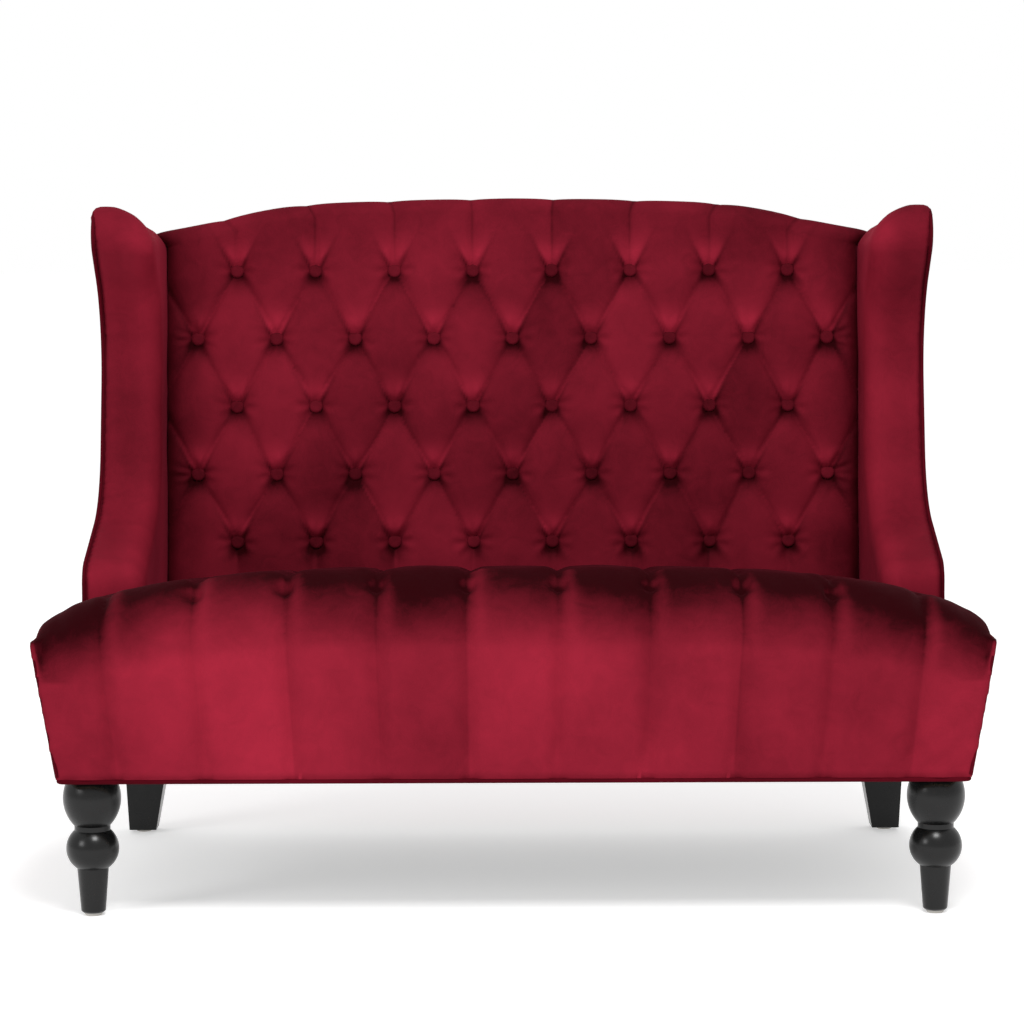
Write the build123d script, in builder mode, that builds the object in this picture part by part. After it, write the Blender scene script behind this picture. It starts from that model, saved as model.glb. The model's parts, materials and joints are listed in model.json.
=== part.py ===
"""High back settee with wings: a channelled seat, a diamond-tufted back and turned front legs.

Millimetres. +X is the sitter's left-hand side seen from the front, +Y points to the back, +Z is up.
The origin is on the floor under the middle of the settee. Right-hand pieces are on the +X side.
"""
from build123d import *
import os
from math import cos, radians, sin, tan

# ---------------------------------------------------------------- driving dimensions
# Overall
overall_depth = 710.0
seat_width = 1192.0  # over the bulging shoulders of the seat
body_width = 1130.0  # over the wings, and over the seat at its bottom edge
arch_height = 899.0  # middle of the arched back
shoulder_height = 849.0  # where the arch meets a wing
lean_angle = 6.0  # the whole back leans backwards, degrees

# Cloth, board and clearances
fit_gap = 0.3  # between soft pieces and what they rest on
cloth = 4.0  # velvet over thin wadding
skin_board = 5.4  # velvet over hard card, on the outside of wings and back
hole_gap = 0.15  # round pins and bolts in their holes
welt_diameter = 6.0
side_welt_diameter = 5.0
side_welt_bend = 25.0
base_welt_bend = 8.0

# Seat frame
frame_bottom = 174.0
rail_height = 90.0
rail_thickness = 22.0
rail_rounding = 4.0
ply_thickness = 18.0  # side rails and the wing panels that stand on them
stretcher_width = 40.0
stretcher_height = 45.0
stretcher_bevel = 3.0
block_leg = 110.0  # corner blocks are right triangles
block_height = 30.0
block_screw_diameter = 5.0
block_screw_length = 34.0
block_screw_spacing = 50.0

# Seat springs
spring_count = 9
spring_pitch = 112.0
spring_wire = 3.8
spring_width = 50.0
spring_bar_pitch = 22.0
spring_loop_share = 0.45  # bend of a spring wire over the spacing of its bars
tie_rows = (0.33, 0.67)  # shares of the way from the front rail to the rear rail
spring_drop = 3.0  # wire centre below the top of the rails
clip_width = 16.0
clip_sheet = 1.5
clip_reach = 12.0
tie_wire = 2.5
deck_thickness = 3.0

# Seat cushion
seat_crown_height = 428.0
seat_shoulder_height = 351.0
seat_crown_power = 3.5  # how flat the crown stays before it falls to the shoulders
seat_crown_ease = 0.67
seat_front_roll_depth = 110.0
seat_front_roll_height = 78.0
seat_top_fall = 0.305  # fall to the crevice at the back over the crown's height above the rails
seat_wadding = 9.0  # quilted cover over the foam
channel_pitch = 111.0
channel_seams = 10
channel_depth = 4.5
channel_shoulder = 15.0
seat_notch_gap = 3.0  # between the seat and the wings
seat_tuft_count = 8
seat_tuft_setback = 50.0  # behind the front face
seat_tuft_radius = 24.0
seat_tuft_reach = 8.0  # how far above its seam a tuft starts to sink
seat_tuft_depth = 2.5
seat_tuft_tilt = 0.45  # forward lean of a tuft
seat_tuft_sides = 8
seat_tuft_point = 0.5
seat_tuft_fall_power = 2.4  # how fast the roll falls forward from the crown
seat_shoulder_shares = (0.915, 0.965, 0.988)  # of the half width, where the crown bends down
foam_slice_shares = (0.7, 0.9, 0.97, 1.0)
roll_bulge_run = 0.27
roll_bulge_rise = 0.72
top_fall_midway = 0.42  # share of the rear fall halfway back

# Back
back_stack = 80.0  # from the front of the frame to the crown of the tufting
post_width = 44.0
back_frame_thickness = 28.0
back_rail_height = 60.0
back_rail_bottom = 310.0
webbing_width = 50.0
webbing_thickness = 1.5
back_cloth_thickness = 1.0
back_cushion_bottom = 290.0
arch_flat_half = 280.0
arch_flat_drop = 7.4
arch_haunch_half = 372.0
arch_haunch_drop = 27.0
arch_curl = 1.5  # swell of the haunch and dip of the shoulder
tuft_pitch = 110.0
tuft_row_pitch = 94.3
tuft_first_row = 422.5
tuft_rows = 5
tuft_columns = 9  # in the longer rows
pillow_height = 11.0
pillow_gap = 0.6
pillow_root = 1.0  # how far a pillow is sunk in the pad under it
pillow_taper = 52.0
pit_depth = 6.0
pit_room = 1.8  # between a button and the corners of its pit
pit_taper = 25.0
edge_roll = 5.0  # rounding of the cover at the sides and under the arch
button_diameter = 19.0
button_height = 8.5
button_rim = 4.5
twine_diameter = 1.2
toggle_diameter = 14.0
toggle_thickness = 1.2

post_bolt_diameter = 6.0
post_bolt_length = 40.0
post_bolt_heights = (222.0, 248.0)

# Wings
wing_screw_diameter = 5.0
wing_screw_length = 50.0
wing_screw_heights = (320.0, 470.0, 620.0, 760.0)
wing_thickness = 81.0
wing_reach = 443.0  # from the back of the settee to the foot of a wing
wing_pad_bottom = 272.0
wing_edge_roll = 26.0  # rounding of the padded inner front edge
wing_frame_setback = 16.0  # plywood edge inside the padding
wing_arm_height = 414.0  # the arm at the wing's foot
wing_arm_run = 198.0
wing_arm_slope = 0.36
wing_waist_run = 253.0
wing_waist_height = 730.0
wing_head_run = 78.0
wing_head_height = 895.0
wing_corner_radii = (30.0, 130.0, 155.0, 32.0)

# Legs
front_leg_x = 528.0
front_leg_setback = 55.0  # from the front of the seat to the middle of a front leg
glide_height = 4.0
glide_diameter = 22.0
glide_pin_diameter = 3.0
glide_pin_length = 14.0
glide_bevel = 1.0
leg_foot_radius = 15.4
leg_taper_radius = 19.7
lower_ball_radius = 33.0
lower_ball_height = 86.7
neck_radius = 22.5
neck_height = 111.0
upper_ball_radius = 36.0
upper_ball_height = 143.0
ball_stretch = 0.93  # a ball's half height over its radius
leg_top_radius = 30.0
leg_neck_length = 6.0
ball_floor_share = 0.87  # how far down its lower half the lower ball is cut off
leg_foot_bevel = 2.0
rear_leg_outer_x = 548.0
rear_leg_top_width = 73.0
rear_leg_foot_width = 38.0
rear_foot_setback = 77.0  # from the back of the settee to the middle of a rear foot
rear_leg_top_setback = 133.0
rear_leg_bolt_inset = 30.0
bolt_diameter = 8.0
bolt_in_leg = 35.0
bolt_bevel = 0.8
tee_flange_diameter = 20.0
tee_flange_thickness = 1.5
dust_cloth = 1.0

# ---------------------------------------------------------------- shared planes and places
front_y = -overall_depth / 2
front_leg_y = front_y + front_leg_setback
rear_leg_foot_y = overall_depth / 2 - rear_foot_setback
rear_leg_top_y = overall_depth / 2 - rear_leg_top_setback
wing_foot_y = overall_depth / 2 - wing_reach
half_seat = seat_width / 2
half_body = body_width / 2
wing_inner = half_body - wing_thickness
panel_inner = half_body - skin_board  # outer face of the plywood sides
ply_inner = panel_inner - ply_thickness
rail_top = frame_bottom + rail_height
lean_sin = sin(radians(lean_angle))
lean_cos = cos(radians(lean_angle))
frame_back_depth = skin_board + fit_gap
frame_front_depth = frame_back_depth + back_frame_thickness
lining_depth = frame_front_depth + webbing_thickness
foam_depth = lining_depth + back_cloth_thickness + fit_gap
crown_depth = frame_front_depth + back_stack
crease_depth = crown_depth - pillow_height
pit_floor_depth = crease_depth - pit_depth
cover_inner_depth = pit_floor_depth - cloth
back_half = wing_inner - fit_gap


def up_the_back(height):
    """Distance up the leaning planes of a height that is read on the tufted face."""
    return (height - frame_bottom - crown_depth * lean_sin) / lean_cos


back_foot_y = overall_depth / 2 - up_the_back(arch_height) * lean_sin


def back_plane(depth):
    """Leaning plane parallel to the outside back, a depth in front of it, facing the sitter."""
    origin = (0, back_foot_y - depth * lean_cos, frame_bottom + depth * lean_sin)
    return Plane(origin=origin, x_dir=(1, 0, 0), z_dir=(0, -lean_cos, lean_sin))


def back_y(height, depth):
    """Y of the leaning plane at a true height above the floor."""
    rise = (height - frame_bottom - depth * lean_sin) / lean_cos
    return back_foot_y - depth * lean_cos + rise * lean_sin


rear_rail_back = back_y(frame_bottom, frame_front_depth)
rear_rail_front = rear_rail_back - rail_thickness
front_rail_front = front_y + seat_wadding + fit_gap
post_x = ply_inner - post_width / 2
post_bolt_spots = [(post_x, z) for z in post_bolt_heights]
front_rail_back = front_rail_front + rail_thickness


def keep(part, name):
    """Label a finished sub-part and write it to its own file."""
    part.label = name
    export_step(part, f"parts/{name}.step")


def mirrored(solid):
    """The same sub-part on the other side of the settee."""
    with BuildPart() as other:
        mirror(solid, about=Plane.YZ)
    return other.part


def keep_pair(solid, name):
    """Write a right-hand sub-part and its left-hand twin."""
    twin = mirrored(solid)
    keep(solid, f"{name}_right")
    keep(twin, f"{name}_left")


def cord(points, radii, diameter):
    """Round cord along straight runs and tangent arcs."""
    with BuildPart() as tube:
        with BuildLine() as route:
            FilletPolyline(*points, radius=radii)
        with BuildSketch(Plane(origin=route.line @ 0, z_dir=route.line % 0)):
            Circle(diameter / 2)
        sweep(path=route.line)
    return tube.part


os.makedirs("parts", exist_ok=True)

# ---------------------------------------------------------------- front legs
with BuildPart() as front_leg:
    with BuildSketch(Plane.XZ):
        with BuildLine():
            lower_half = lower_ball_radius * ball_stretch
            lower_floor = lower_ball_height - lower_half * ball_floor_share
            neck_low = neck_height - leg_neck_length / 2
            neck_high = neck_height + leg_neck_length / 2
            Line((0, glide_height), (leg_foot_radius - leg_foot_bevel, glide_height))
            Line((leg_foot_radius - leg_foot_bevel, glide_height), (leg_foot_radius, glide_height + leg_foot_bevel))
            Line((leg_foot_radius, glide_height + leg_foot_bevel), (leg_taper_radius, lower_floor))
            ThreePointArc(
                (leg_taper_radius, lower_floor),
                (lower_ball_radius, lower_ball_height),
                (neck_radius, neck_low),
            )
            Line((neck_radius, neck_low), (neck_radius, neck_high))
            ThreePointArc(
                (neck_radius, neck_high),
                (upper_ball_radius, upper_ball_height),
                (leg_top_radius, frame_bottom - dust_cloth),
            )
            Line((leg_top_radius, frame_bottom - dust_cloth), (0, frame_bottom - dust_cloth))
            Line((0, frame_bottom - dust_cloth), (0, glide_height))
        make_face()
    revolve(axis=Axis.Z)
    with BuildSketch(Plane.XY.offset(frame_bottom - dust_cloth)):
        Circle(bolt_diameter / 2 + hole_gap)
    extrude(amount=-bolt_in_leg - fit_gap, mode=Mode.SUBTRACT)
    with BuildSketch(Plane.XY.offset(glide_height)):
        Circle(glide_pin_diameter / 2 + hole_gap)
    extrude(amount=glide_pin_length + fit_gap, mode=Mode.SUBTRACT)

keep_pair(front_leg.part.moved(Location((front_leg_x, front_leg_y, 0))), "front_leg")

# ---------------------------------------------------------------- rear legs
rear_leg_bolt_x = rear_leg_outer_x - rear_leg_bolt_inset
rear_leg_bolt_y = rear_rail_front - tee_flange_diameter / 2 - clip_sheet
rear_foot_x = rear_leg_outer_x - rear_leg_foot_width / 2
with BuildPart() as rear_leg:
    with BuildSketch(Plane.XY.offset(glide_height)):
        with Locations((rear_foot_x, rear_leg_foot_y)):
            Rectangle(rear_leg_foot_width, rear_leg_foot_width)
    with BuildSketch(Plane.XY.offset(frame_bottom - dust_cloth)):
        with Locations((rear_leg_outer_x - rear_leg_top_width / 2, rear_leg_top_y)):
            Rectangle(rear_leg_top_width, rear_leg_top_width)
    loft(ruled=True)
    with BuildSketch(Plane.XY.offset(frame_bottom - dust_cloth)):
        with Locations((rear_leg_bolt_x, rear_leg_bolt_y)):
            Circle(bolt_diameter / 2 + hole_gap)
    extrude(amount=-bolt_in_leg - fit_gap, mode=Mode.SUBTRACT)
    with BuildSketch(Plane.XY.offset(glide_height)):
        with Locations((rear_foot_x, rear_leg_foot_y)):
            Circle(glide_pin_diameter / 2 + hole_gap)
    extrude(amount=glide_pin_length + fit_gap, mode=Mode.SUBTRACT)

keep_pair(rear_leg.part, "rear_leg")

# ---------------------------------------------------------------- glides, bolts and tee nuts
foot_places = [(side * x, y) for side in (-1, 1)
               for x, y in ((front_leg_x, front_leg_y), (rear_foot_x, rear_leg_foot_y))]
bolt_places = [(side * x, y) for side in (-1, 1)
               for x, y in ((front_leg_x, front_leg_y), (rear_leg_bolt_x, rear_leg_bolt_y))]
block_top = frame_bottom + block_height

with BuildPart() as glides:
    with BuildSketch(Plane.XY):
        with Locations(*foot_places):
            Circle(glide_diameter / 2)
    extrude(amount=glide_height)
    chamfer(glides.edges().filter_by(GeomType.CIRCLE).group_by(Axis.Z)[0], glide_bevel)
    with BuildSketch(Plane.XY.offset(glide_height)):
        with Locations(*foot_places):
            Circle(glide_pin_diameter / 2)
    extrude(amount=glide_pin_length)

keep(glides.part, "leg_glides")

with BuildPart() as leg_bolts:
    with BuildSketch(Plane.XY.offset(frame_bottom - dust_cloth - bolt_in_leg)):
        with Locations(*bolt_places):
            Circle(bolt_diameter / 2)
    extrude(amount=bolt_in_leg + dust_cloth + block_height)
    chamfer(leg_bolts.edges().filter_by(GeomType.CIRCLE), bolt_bevel)

keep(leg_bolts.part, "leg_bolts")

with BuildPart() as tee_nuts:
    tee_bore = bolt_diameter / 2 + hole_gap
    with BuildSketch(Plane.XY.offset(block_top)):
        with Locations(*bolt_places):
            Circle(tee_flange_diameter / 2)
            Circle(tee_bore, mode=Mode.SUBTRACT)
    extrude(amount=tee_flange_thickness)
    with BuildSketch(Plane.XY.offset(block_top)):
        with Locations(*bolt_places):
            Circle(tee_bore + clip_sheet)
            Circle(tee_bore, mode=Mode.SUBTRACT)
    extrude(amount=-block_height / 2)

keep(tee_nuts.part, "tee_nuts")

# ---------------------------------------------------------------- seat frame rails
with BuildPart() as front_rail:
    with BuildSketch(Plane.XY.offset(frame_bottom)):
        with Locations((0, (front_rail_front + front_rail_back) / 2)):
            Rectangle(2 * panel_inner, rail_thickness)
    extrude(amount=rail_height)
    fillet(front_rail.edges().filter_by(Axis.X).group_by(Axis.Z)[-1], rail_rounding)

keep(front_rail.part, "front_rail")

with BuildPart() as rear_rail:
    with BuildSketch(Plane.XY.offset(frame_bottom)):
        with Locations((0, (rear_rail_front + rear_rail_back) / 2)):
            Rectangle(2 * ply_inner, rail_thickness)
    extrude(amount=rail_height)
    with BuildSketch(Plane.XZ.offset(-rear_rail_front)):
        with Locations(*[(side * x, z) for side in (-1, 1) for x, z in post_bolt_spots]):
            Circle(post_bolt_diameter / 2 + hole_gap)
    extrude(amount=-rail_thickness, mode=Mode.SUBTRACT)

keep(rear_rail.part, "rear_rail")

with BuildPart() as side_rail:
    with BuildSketch(Plane.YZ.offset(ply_inner)):
        with BuildLine():
            Polyline(
                (front_rail_back, frame_bottom),
                (back_y(frame_bottom, frame_back_depth), frame_bottom),
                (back_y(rail_top, frame_back_depth), rail_top),
                (front_rail_back, rail_top),
                close=True,
            )
        make_face()
    extrude(amount=ply_thickness)

keep_pair(side_rail.part, "side_rail")

rail_bay = rear_rail_front - front_rail_back
with BuildPart() as centre_stretcher:
    with BuildSketch(Plane.XY.offset(frame_bottom)):
        with Locations((0, (rear_rail_front + front_rail_back) / 2)):
            Rectangle(stretcher_width, rail_bay)
    extrude(amount=stretcher_height)
    chamfer(centre_stretcher.edges().filter_by(Axis.Y).group_by(Axis.Z)[-1], stretcher_bevel)

keep(centre_stretcher.part, "centre_stretcher")

# ---------------------------------------------------------------- corner blocks and their screws
block_corners = [(side, end, side * ply_inner, y) for side in (-1, 1)
                 for end, y in ((1, front_rail_back), (-1, rear_rail_front))]
with BuildPart() as corner_blocks:
    with BuildSketch(Plane.XY.offset(frame_bottom)):
        for side, end, x, y in block_corners:
            with BuildLine():
                Polyline((x, y), (x - side * block_leg, y), (x, y + end * block_leg), close=True)
            make_face()
    extrude(amount=block_height)
    with BuildSketch(Plane.XY.offset(frame_bottom)):
        with Locations(*bolt_places):
            Circle(tee_bore + clip_sheet + hole_gap)
    extrude(amount=block_height, mode=Mode.SUBTRACT)
    screw_planes = []
    for side, end, x, y in block_corners:
        middle = Vector(x - side * block_leg / 2, y + end * block_leg / 2, frame_bottom + block_height / 2)
        screw_planes.append(Plane(origin=middle, x_dir=(side, end, 0), z_dir=(side, -end, 0)))
    for plane in screw_planes:
        with BuildSketch(plane):
            with GridLocations(block_screw_spacing, 1, 2, 1):
                Circle(block_screw_diameter / 2 + hole_gap)
        extrude(amount=block_screw_length + fit_gap, mode=Mode.SUBTRACT)

keep(corner_blocks.part, "corner_blocks")

with BuildPart() as block_screws:
    for plane in screw_planes:
        with BuildSketch(plane):
            with GridLocations(block_screw_spacing, 1, 2, 1):
                Circle(block_screw_diameter / 2)
        extrude(amount=block_screw_length)
        with BuildSketch(plane):
            with GridLocations(block_screw_spacing, 1, 2, 1):
                Circle(block_screw_diameter)
        extrude(amount=-block_screw_diameter / 2)

keep(block_screws.part, "block_screws")

# ---------------------------------------------------------------- dust cloth under the seat
with BuildPart() as dust_cover:
    with BuildSketch(Plane.XY.offset(frame_bottom - dust_cloth)):
        with Locations((0, (front_rail_front + rear_rail_back) / 2)):
            cloth_width = 2 * (panel_inner - welt_diameter)
            Rectangle(cloth_width, rear_rail_back - front_rail_front - 2 * welt_diameter)
        with Locations(*bolt_places):
            Circle(bolt_diameter / 2 + hole_gap, mode=Mode.SUBTRACT)
    extrude(amount=dust_cloth)

keep(dust_cover.part, "dust_cover")

# ---------------------------------------------------------------- seat springs, clips and tie wires
spring_z = rail_top - spring_drop
spring_start = front_rail_back + clip_reach / 2
spring_run = rear_rail_front - front_rail_back - clip_reach
spring_bars = 2 * round(spring_run / spring_bar_pitch / 2)
bar_step = spring_run / (spring_bars - 1)
spring_points = []
for bar in range(spring_bars):
    swing = spring_width / 2 if bar % 2 else -spring_width / 2
    bar_y = spring_start + bar * bar_step
    spring_points.append((-swing, bar_y, spring_z))
    spring_points.append((swing, bar_y, spring_z))

with BuildPart() as one_spring:
    with BuildLine() as spring_path:
        FilletPolyline(*spring_points, radius=bar_step * spring_loop_share)
    with BuildSketch(Plane(origin=spring_points[0], z_dir=(1, 0, 0))):
        Circle(spring_wire / 2)
    sweep(path=spring_path.line)

spring_places = [(spring_pitch * (n - (spring_count - 1) / 2), 0, 0) for n in range(spring_count)]
with BuildPart() as seat_springs:
    with Locations(*spring_places):
        add(one_spring.part)

keep(seat_springs.part, "seat_springs")

clip_bore = spring_wire / 2 + fit_gap
with BuildPart() as one_clip:
    with BuildSketch(Plane.YZ.offset(-clip_width / 2)):
        with Locations((spring_start, spring_z)):
            Circle(clip_bore + clip_sheet)
        plate_length = rail_thickness / 2
        with Locations((front_rail_back, rail_top)):
            Rectangle(plate_length, clip_sheet, align=(Align.MAX, Align.MIN))
        with Locations((front_rail_back, rail_top)):
            Rectangle(clip_reach / 2, clip_sheet, align=(Align.MIN, Align.MIN))
        with Locations((front_rail_back, rail_top)):
            Rectangle(plate_length, spring_drop * 3, align=(Align.MAX, Align.MAX), mode=Mode.SUBTRACT)
        with Locations((spring_start, spring_z)):
            Circle(clip_bore, mode=Mode.SUBTRACT)
    extrude(amount=clip_width)

bay_middle = Plane.XZ.offset(-(front_rail_back + rear_rail_front) / 2)
with BuildPart() as spring_clips:
    with Locations(*spring_places):
        add(one_clip.part)
    mirror(about=bay_middle)

keep(spring_clips.part, "spring_clips")

tie_z = spring_z + spring_wire / 2 + tie_wire / 2
with BuildPart() as spring_ties:
    with BuildSketch(Plane.YZ.offset(-ply_inner + fit_gap)):
        with Locations(*[(front_rail_back + share * rail_bay, tie_z) for share in tie_rows]):
            Circle(tie_wire / 2)
    extrude(amount=2 * (ply_inner - fit_gap))

keep(spring_ties.part, "spring_ties")

deck_bottom = max(tie_z + tie_wire / 2, rail_top + clip_sheet)
deck_top = deck_bottom + deck_thickness
with BuildPart() as spring_deck:
    with BuildSketch(Plane.XY.offset(deck_bottom)):
        with Locations((0, (front_rail_front + rear_rail_front) / 2)):
            Rectangle(2 * (wing_inner - seat_wadding), rear_rail_front - front_rail_front - 4 * cloth)
    extrude(amount=deck_thickness)

keep(spring_deck.part, "spring_deck")


# ---------------------------------------------------------------- seat cushion form
def seat_crown(x):
    """Height of the seat's crown line across its width."""
    rise = seat_crown_height - seat_shoulder_height
    share = min(abs(x) / half_seat, 1.0)
    return seat_shoulder_height + rise * (1 - share**seat_crown_power) ** seat_crown_ease


seam_places = [channel_pitch * (n - (channel_seams - 1) / 2) for n in range(channel_seams)]
shoulder_places = [half_seat * share for share in seat_shoulder_shares]


def seat_profile(x, inset, bottom):
    """One upright slice of the seat, front to back, at a distance across it."""
    crown = seat_crown(x) - inset
    face_y = front_y + inset
    roll_bottom = seat_crown(x) - seat_front_roll_height
    roll_end_y = front_y + seat_front_roll_depth
    top_fall = (seat_crown(x) - rail_top) * seat_top_fall
    rear_z = crown - top_fall
    rear_gap = seat_notch_gap + inset / 2
    rear_y = back_y(rear_z, crown_depth) - rear_gap
    rear_foot_y = back_y(bottom, crown_depth) - rear_gap
    with BuildSketch(Plane.YZ.offset(x)) as slice_sketch:
        with BuildLine():
            Line((face_y, bottom), (face_y, roll_bottom))
            ThreePointArc(
                (face_y, roll_bottom),
                (
                    face_y + (roll_end_y - face_y) * roll_bulge_run,
                    roll_bottom + (crown - roll_bottom) * roll_bulge_rise,
                ),
                (roll_end_y, crown),
            )
            ThreePointArc(
                (roll_end_y, crown),
                ((roll_end_y + rear_y) / 2, crown - top_fall * top_fall_midway),
                (rear_y, rear_z),
            )
            Line((rear_y, rear_z), (rear_foot_y, bottom))
            Line((rear_foot_y, bottom), (face_y, bottom))
        make_face()
    return slice_sketch.sketch


def seat_body(slices, bottom, side_inset, wing_gap):
    """Seat form through its slices, with flared sides and notches for the wings."""
    with BuildPart() as body:
        loft([seat_profile(x, inset, bottom) for x, inset in slices], ruled=True)
        flare_low = half_body - side_inset
        flare_high = half_seat - side_inset
        reach = half_seat + skin_board
        with BuildSketch(Plane.XZ.offset(-front_y + seat_wadding)):
            for side in (-1, 1):
                with BuildLine():
                    Polyline(
                        (side * flare_low, frame_bottom),
                        (side * flare_high, seat_shoulder_height),
                        (side * reach, seat_shoulder_height),
                        (side * reach, frame_bottom),
                        close=True,
                    )
                make_face()
        extrude(amount=-2 * overall_depth, mode=Mode.SUBTRACT)
        notch = half_seat + skin_board - wing_inner + wing_gap
        with BuildSketch(Plane.XY):
            for side in (-1, 1):
                with Locations((side * (wing_inner - wing_gap + notch / 2), wing_foot_y - wing_gap)):
                    Rectangle(notch, overall_depth, align=(Align.CENTER, Align.MIN))
        extrude(amount=arch_height, mode=Mode.SUBTRACT)
    return body.part


def side_flare(height, inset):
    """Half width of the seat's flared side at a height below its shoulder."""
    share = (height - frame_bottom) / (seat_shoulder_height - frame_bottom)
    return half_body + (half_seat - half_body) * share - inset


# ---------------------------------------------------------------- slices and tufts of the cushion
cover_bottom = frame_bottom + welt_diameter + fit_gap
outer_slices = [(-half_seat + fit_gap, 0.0)]
for seam in seam_places:
    outer_slices.append((seam - channel_shoulder, 0.0))
    outer_slices.append((seam, channel_depth))
    outer_slices.append((seam + channel_shoulder, 0.0))
for place in shoulder_places:
    outer_slices.append((place, 0.0))
    outer_slices.append((-place, 0.0))
outer_slices.append((half_seat - fit_gap, 0.0))
outer_slices.sort()

inner_half = half_seat - seat_wadding
inner_slices = [(side * share * inner_half, seat_wadding) for side in (-1, 1) for share in foam_slice_shares]
inner_slices.append((0, seat_wadding))
inner_slices.sort()
foam_slices = [(x, inset + fit_gap) for x, inset in inner_slices]

tuft_y = front_y + seat_tuft_setback
tuft_places = [channel_pitch * (n - (seat_tuft_count - 1) / 2) for n in range(seat_tuft_count)]
roll_share = seat_tuft_setback / seat_front_roll_depth

# ---------------------------------------------------------------- welts round the seat
side_welt_radius = side_welt_diameter / 2
side_back_y = wing_foot_y - seat_notch_gap
side_welt_low = cover_bottom + side_welt_radius
side_welt_corner = front_y + side_welt_radius
side_welt_top = seat_shoulder_height - side_welt_radius
side_welt_points = [
    (side_flare(side_welt_low, side_welt_radius), side_welt_corner, side_welt_low),
    (side_flare(side_welt_top, side_welt_radius), side_welt_corner, side_welt_top),
    (side_flare(side_welt_top, side_welt_radius), side_back_y, side_welt_top),
]
side_welt = cord(side_welt_points, side_welt_bend, side_welt_diameter)
side_welt_room = cord(side_welt_points, side_welt_bend, side_welt_diameter + 2 * fit_gap)
keep_pair(side_welt, "seat_side_welt")

welt_radius = welt_diameter / 2
base_welt_x = panel_inner + fit_gap + welt_radius
base_welt_z = frame_bottom + welt_radius
base_welt_back = back_y(frame_bottom, frame_front_depth)
base_welt_points = [
    (-base_welt_x, base_welt_back, base_welt_z),
    (-base_welt_x, front_y + welt_radius, base_welt_z),
    (base_welt_x, front_y + welt_radius, base_welt_z),
    (base_welt_x, base_welt_back, base_welt_z),
]
keep(cord(base_welt_points, base_welt_bend, welt_diameter), "seat_base_welt")

# ---------------------------------------------------------------- boxed sides of the seat
with BuildPart() as seat_side:
    with BuildSketch(Plane.XZ.offset(-front_y)):
        with BuildLine():
            Polyline(
                (side_flare(cover_bottom, 0), cover_bottom),
                (side_flare(seat_shoulder_height, 0), seat_shoulder_height),
                (side_flare(seat_shoulder_height, skin_board), seat_shoulder_height),
                (side_flare(cover_bottom, skin_board), cover_bottom),
                close=True,
            )
        make_face()
    extrude(amount=front_y - side_back_y)
    add(side_welt_room, mode=Mode.SUBTRACT)

keep_pair(seat_side.part, "seat_side_panel")

# ---------------------------------------------------------------- seat cover with channels and tufts
with BuildPart() as seat_cover:
    add(seat_body(outer_slices, cover_bottom, skin_board + fit_gap, seat_notch_gap))
    add(seat_body(inner_slices, frame_bottom, 0.0, seat_notch_gap + cloth), mode=Mode.SUBTRACT)
    with BuildSketch(Plane.XY.offset(frame_bottom)):
        with Locations((0, front_rail_back)):
            Rectangle(2 * (half_body + skin_board), overall_depth, align=(Align.CENTER, Align.MIN))
    extrude(amount=deck_top - frame_bottom + fit_gap, mode=Mode.SUBTRACT)
    for x in tuft_places:
        tuft_z = seat_crown(x) - seat_front_roll_height * (1 - roll_share) ** seat_tuft_fall_power
        tuft_plane = Plane(origin=(x, tuft_y, tuft_z), x_dir=(1, 0, 0), z_dir=(0, -seat_tuft_tilt, 1))
        with BuildSketch(tuft_plane.offset(-seat_tuft_depth)):
            RegularPolygon(seat_tuft_point, seat_tuft_sides)
        with BuildSketch(tuft_plane.offset(seat_tuft_reach)):
            RegularPolygon(seat_tuft_radius, seat_tuft_sides)
        loft(ruled=True, mode=Mode.SUBTRACT)

    add(side_welt_room, mode=Mode.SUBTRACT)
    add(mirrored(side_welt_room), mode=Mode.SUBTRACT)

keep(seat_cover.part, "seat_cover")

with BuildPart() as seat_foam:
    add(seat_body(foam_slices, deck_top, skin_board + 2 * fit_gap, seat_notch_gap + cloth + fit_gap))

keep(seat_foam.part, "seat_foam")


# ---------------------------------------------------------------- outline of the arched back
def arch_face(depth, half_width, bottom, inset):
    """Face between two upright sides, under the arch, in a leaning plane."""
    top = up_the_back(arch_height) - inset
    foot = up_the_back(bottom)
    haunch = top - arch_haunch_drop
    flat_end = top - arch_flat_drop
    shoulder = top - (arch_height - shoulder_height)
    rise_x = (arch_flat_half + arch_haunch_half) / 2
    dip_x = (arch_haunch_half + wing_inner) / 2
    rise = (flat_end + haunch) / 2 + arch_curl
    dip = (haunch + shoulder) / 2 - arch_curl
    wide = half_body + skin_board
    with BuildSketch(back_plane(depth)) as face:
        with BuildLine():
            ThreePointArc((-arch_flat_half, flat_end), (0, top), (arch_flat_half, flat_end))
            for side in (-1, 1):
                flat = (side * arch_flat_half, flat_end)
                curl = (side * arch_haunch_half, haunch)
                corner = (side * wing_inner, shoulder)
                ThreePointArc(flat, (side * rise_x, rise), curl)
                ThreePointArc(curl, (side * dip_x, dip), corner)
                Polyline(corner, (side * wide, shoulder), (side * wide, foot))
            Line((-wide, foot), (wide, foot))
        make_face()
        with Locations((0, foot)):
            Rectangle(2 * half_width, 2 * arch_height, mode=Mode.INTERSECT)
    return face


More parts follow.
